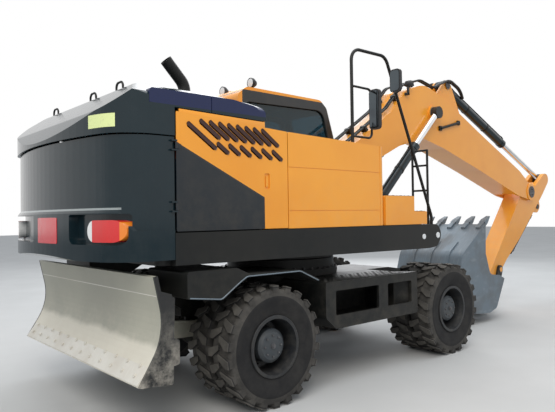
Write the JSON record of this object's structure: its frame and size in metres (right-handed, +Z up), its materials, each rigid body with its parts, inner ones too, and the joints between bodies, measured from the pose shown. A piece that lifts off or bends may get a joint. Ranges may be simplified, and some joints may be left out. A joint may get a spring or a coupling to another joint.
{
  "type": "wheeled excavator",
  "caption": "Wheeled excavator on twin tyres with slewing upper body, cab, one-piece boom, arm, bucket and rear dozer blade.",
  "frame": {"origin": "on the ground under the middle of the parked machine's length and width; the swing axis is 2.065 m behind it", "axes": "+X forward along the boom, +Y left, +Z up"},
  "size_m": [9.6247, 2.54, 3.7757],
  "materials": {
    "yellow_paint": "gloss",
    "dark_green_paint": "gloss",
    "black_paint": "satin",
    "grey_paint": "worn satin",
    "bucket_steel": "worn",
    "chrome_rod": "polished",
    "tyre_rubber": "matte",
    "rim_paint": "satin",
    "tinted_glass": "clear tinted",
    "lamp_plastic": "gloss",
    "cab_plastic": "matte",
    "seat_fabric": "woven"
  },
  "bodies": {
    "undercarriage": {"chassis": "black_paint", "side_steps": "black_paint", "fenders": "black_paint", "front_axle": "black_paint", "rear_axle": "black_paint", "driveline": "black_paint"},
    "upper": {"swing_frame": "black_paint", "side_skirts": "black_paint", "counterweight": "dark_green_paint", "tail_lamps": "lamp_plastic", "engine": "black_paint", "hood_front": "dark_green_paint", "exhaust": "black_paint", "side_lockers": "yellow_paint", "valve_cover": "black_paint", "tool_box": "yellow_paint", "cab": "yellow_paint", "cab_glass": "tinted_glass", "operator_seat": "seat_fabric", "cab_controls": "cab_plastic", "work_lamps": "black_paint", "handrails": "black_paint", "mirrors": "black_paint"},
    "left_knuckle": {"left_knuckle": "black_paint"},
    "right_knuckle": {"right_knuckle": "black_paint"},
    "front_left_wheels": {"front_left_tyres": "tyre_rubber", "front_left_rims": "rim_paint"},
    "rear_left_wheels": {"rear_left_tyres": "tyre_rubber", "rear_left_rims": "rim_paint"},
    "front_right_wheels": {"front_right_tyres": "tyre_rubber", "front_right_rims": "rim_paint"},
    "rear_right_wheels": {"rear_right_tyres": "tyre_rubber", "rear_right_rims": "rim_paint"},
    "blade": {"blade": "grey_paint"},
    "blade_barrels": {"blade_barrels": "black_paint"},
    "blade_rods": {"blade_rods": "chrome_rod"},
    "boom": {"boom": "yellow_paint", "boom_pipes": "black_paint"},
    "boom_barrels": {"boom_barrels": "dark_green_paint"},
    "boom_rods": {"boom_rods": "chrome_rod"},
    "arm": {"arm": "yellow_paint"},
    "arm_barrel": {"arm_barrel": "dark_green_paint"},
    "arm_rod": {"arm_rod": "chrome_rod"},
    "bucket": {"bucket": "bucket_steel"},
    "rockers": {"rockers": "black_paint"},
    "push_link": {"push_link": "black_paint"},
    "bucket_barrel": {"bucket_barrel": "dark_green_paint"},
    "bucket_rod": {"bucket_rod": "chrome_rod"},
    "cab_door": {"cab_door": "yellow_paint", "door_glass": "tinted_glass"},
    "pump_door": {"pump_door": "yellow_paint"},
    "radiator_door": {"radiator_door": "yellow_paint"},
    "engine_hood": {"hood": "dark_green_paint", "hood_handles": "black_paint"}
  },
  "joints": [
    {"name": "swing", "type": "hinge", "parent": "undercarriage", "child": "upper", "pos_m": [-2.065, 0, 1.2], "axis": [0, 0, 1], "continuous": true},
    {"name": "left_steering", "type": "hinge", "parent": "undercarriage", "child": "left_knuckle", "pos_m": [-0.415, 0.56, 0.53], "axis": [0, 0, 1], "range_deg": [-30, 30]},
    {"name": "right_steering", "type": "hinge", "parent": "undercarriage", "child": "right_knuckle", "pos_m": [-0.415, -0.56, 0.53], "axis": [0, 0, 1], "range_deg": [-31, 31]},
    {"name": "front_left_spin", "type": "hinge", "parent": "left_knuckle", "child": "front_left_wheels", "pos_m": [-0.415, 0.95, 0.53], "axis": [0, 1, 0], "continuous": true},
    {"name": "rear_left_spin", "type": "hinge", "parent": "undercarriage", "child": "rear_left_wheels", "pos_m": [-3.215, 0.95, 0.53], "axis": [0, 1, 0], "continuous": true},
    {"name": "front_right_spin", "type": "hinge", "parent": "right_knuckle", "child": "front_right_wheels", "pos_m": [-0.415, -0.95, 0.53], "axis": [0, 1, 0], "continuous": true},
    {"name": "rear_right_spin", "type": "hinge", "parent": "undercarriage", "child": "rear_right_wheels", "pos_m": [-3.215, -0.95, 0.53], "axis": [0, 1, 0], "continuous": true},
    {"name": "blade_lift", "type": "hinge", "parent": "undercarriage", "child": "blade", "pos_m": [-3.515, 0, 0.62], "axis": [0, -1, 0], "range_deg": [0, 35]},
    {"name": "blade_barrel_tilt", "type": "hinge", "parent": "undercarriage", "child": "blade_barrels", "pos_m": [-3.725, 0, 0.93], "axis": [0, -1, 0], "range_deg": [-1, 33]},
    {"name": "blade_rod_slide", "type": "slide", "parent": "blade_barrels", "child": "blade_rods", "axis": [-0.8396, 0, -0.5433], "range_m": [-0.01, 0.232]},
    {"name": "boom_lift", "type": "hinge", "parent": "upper", "child": "boom", "pos_m": [-1.715, 0, 1.95], "axis": [0, -1, 0], "range_deg": [-46, 57]},
    {"name": "boom_barrel_tilt", "type": "hinge", "parent": "upper", "child": "boom_barrels", "pos_m": [-0.945, 0, 1.52], "axis": [0, -1, 0], "range_deg": [-50, 61]},
    {"name": "boom_rod_slide", "type": "slide", "parent": "boom_barrels", "child": "boom_rods", "axis": [0.7277, 0, 0.6859], "range_m": [-0.615, 0.76]},
    {"name": "arm_fold", "type": "hinge", "parent": "boom", "child": "arm", "pos_m": [3.935, 0, 2.05], "axis": [0, 1, 0], "range_deg": [-105, 8]},
    {"name": "arm_barrel_tilt", "type": "hinge", "parent": "boom", "child": "arm_barrel", "pos_m": [1.385, 0, 3.68], "axis": [0, 1, 0], "range_deg": [-6, 2]},
    {"name": "arm_rod_slide", "type": "slide", "parent": "arm_barrel", "child": "arm_rod", "axis": [0.9263, 0, -0.3767], "range_m": [-1.332, 0.111]},
    {"name": "bucket_curl", "type": "hinge", "parent": "arm", "child": "bucket", "pos_m": [2.435, 0, 0.45], "axis": [0, 1, 0], "range_deg": [-148, 8]},
    {"name": "rocker_swing", "type": "hinge", "parent": "arm", "child": "rockers", "pos_m": [2.78062, 0, 0.70169], "axis": [0, 1, 0], "range_deg": [-123, 8]},
    {"name": "link_swing", "type": "hinge", "parent": "rockers", "child": "push_link", "pos_m": [2.59266, 0, 0.26002], "axis": [0, 1, 0], "range_deg": [-7, 103]},
    {"name": "bucket_barrel_tilt", "type": "hinge", "parent": "arm", "child": "bucket_barrel", "pos_m": [4.43884, 0, 1.78326], "axis": [0, 1, 0], "range_deg": [-10, 2]},
    {"name": "bucket_rod_slide", "type": "slide", "parent": "bucket_barrel", "child": "bucket_rod", "axis": [-0.7713, 0, -0.6364], "range_m": [-0.841, 0.055]},
    {"name": "cab_door_swing", "type": "hinge", "parent": "upper", "child": "cab_door", "pos_m": [-1.94, 1.235, 1.45], "axis": [0, 0, 1], "range_deg": [0, 165]},
    {"name": "pump_door_swing", "type": "hinge", "parent": "upper", "child": "pump_door", "pos_m": [-4.187, -1.232, 1.56], "axis": [0, 0, -1], "range_deg": [0, 110]},
    {"name": "radiator_door_swing", "type": "hinge", "parent": "upper", "child": "radiator_door", "pos_m": [-4.187, 1.232, 1.56], "axis": [0, 0, 1], "range_deg": [0, 110]},
    {"name": "hood_lift", "type": "hinge", "parent": "upper", "child": "engine_hood", "pos_m": [-3.848, 0, 2.79], "axis": [0, 1, 0], "range_deg": [0, 60]}
  ],
  "couplings": [
    {"joint": "right_steering", "follows": "left_steering", "ratio": 1},
    {"joint": "blade_barrel_tilt", "follows": "blade_lift", "ratio": 0.8969},
    {"joint": "blade_rod_slide", "follows": "blade_lift", "m_per_rad": 0.3634},
    {"joint": "boom_barrel_tilt", "follows": "boom_lift", "ratio": 1.0458},
    {"joint": "boom_rod_slide", "follows": "boom_lift", "m_per_rad": 0.7538},
    {"joint": "arm_barrel_tilt", "follows": "arm_fold", "ratio": 0.0387},
    {"joint": "arm_rod_slide", "follows": "arm_fold", "m_per_rad": 0.7215},
    {"joint": "rocker_swing", "follows": "bucket_curl", "ratio": 0.8218},
    {"joint": "link_swing", "follows": "bucket_curl", "ratio": -0.6871},
    {"joint": "bucket_barrel_tilt", "follows": "bucket_curl", "ratio": 0.0544},
    {"joint": "bucket_rod_slide", "follows": "bucket_curl", "m_per_rad": 0.3219}
  ]
}
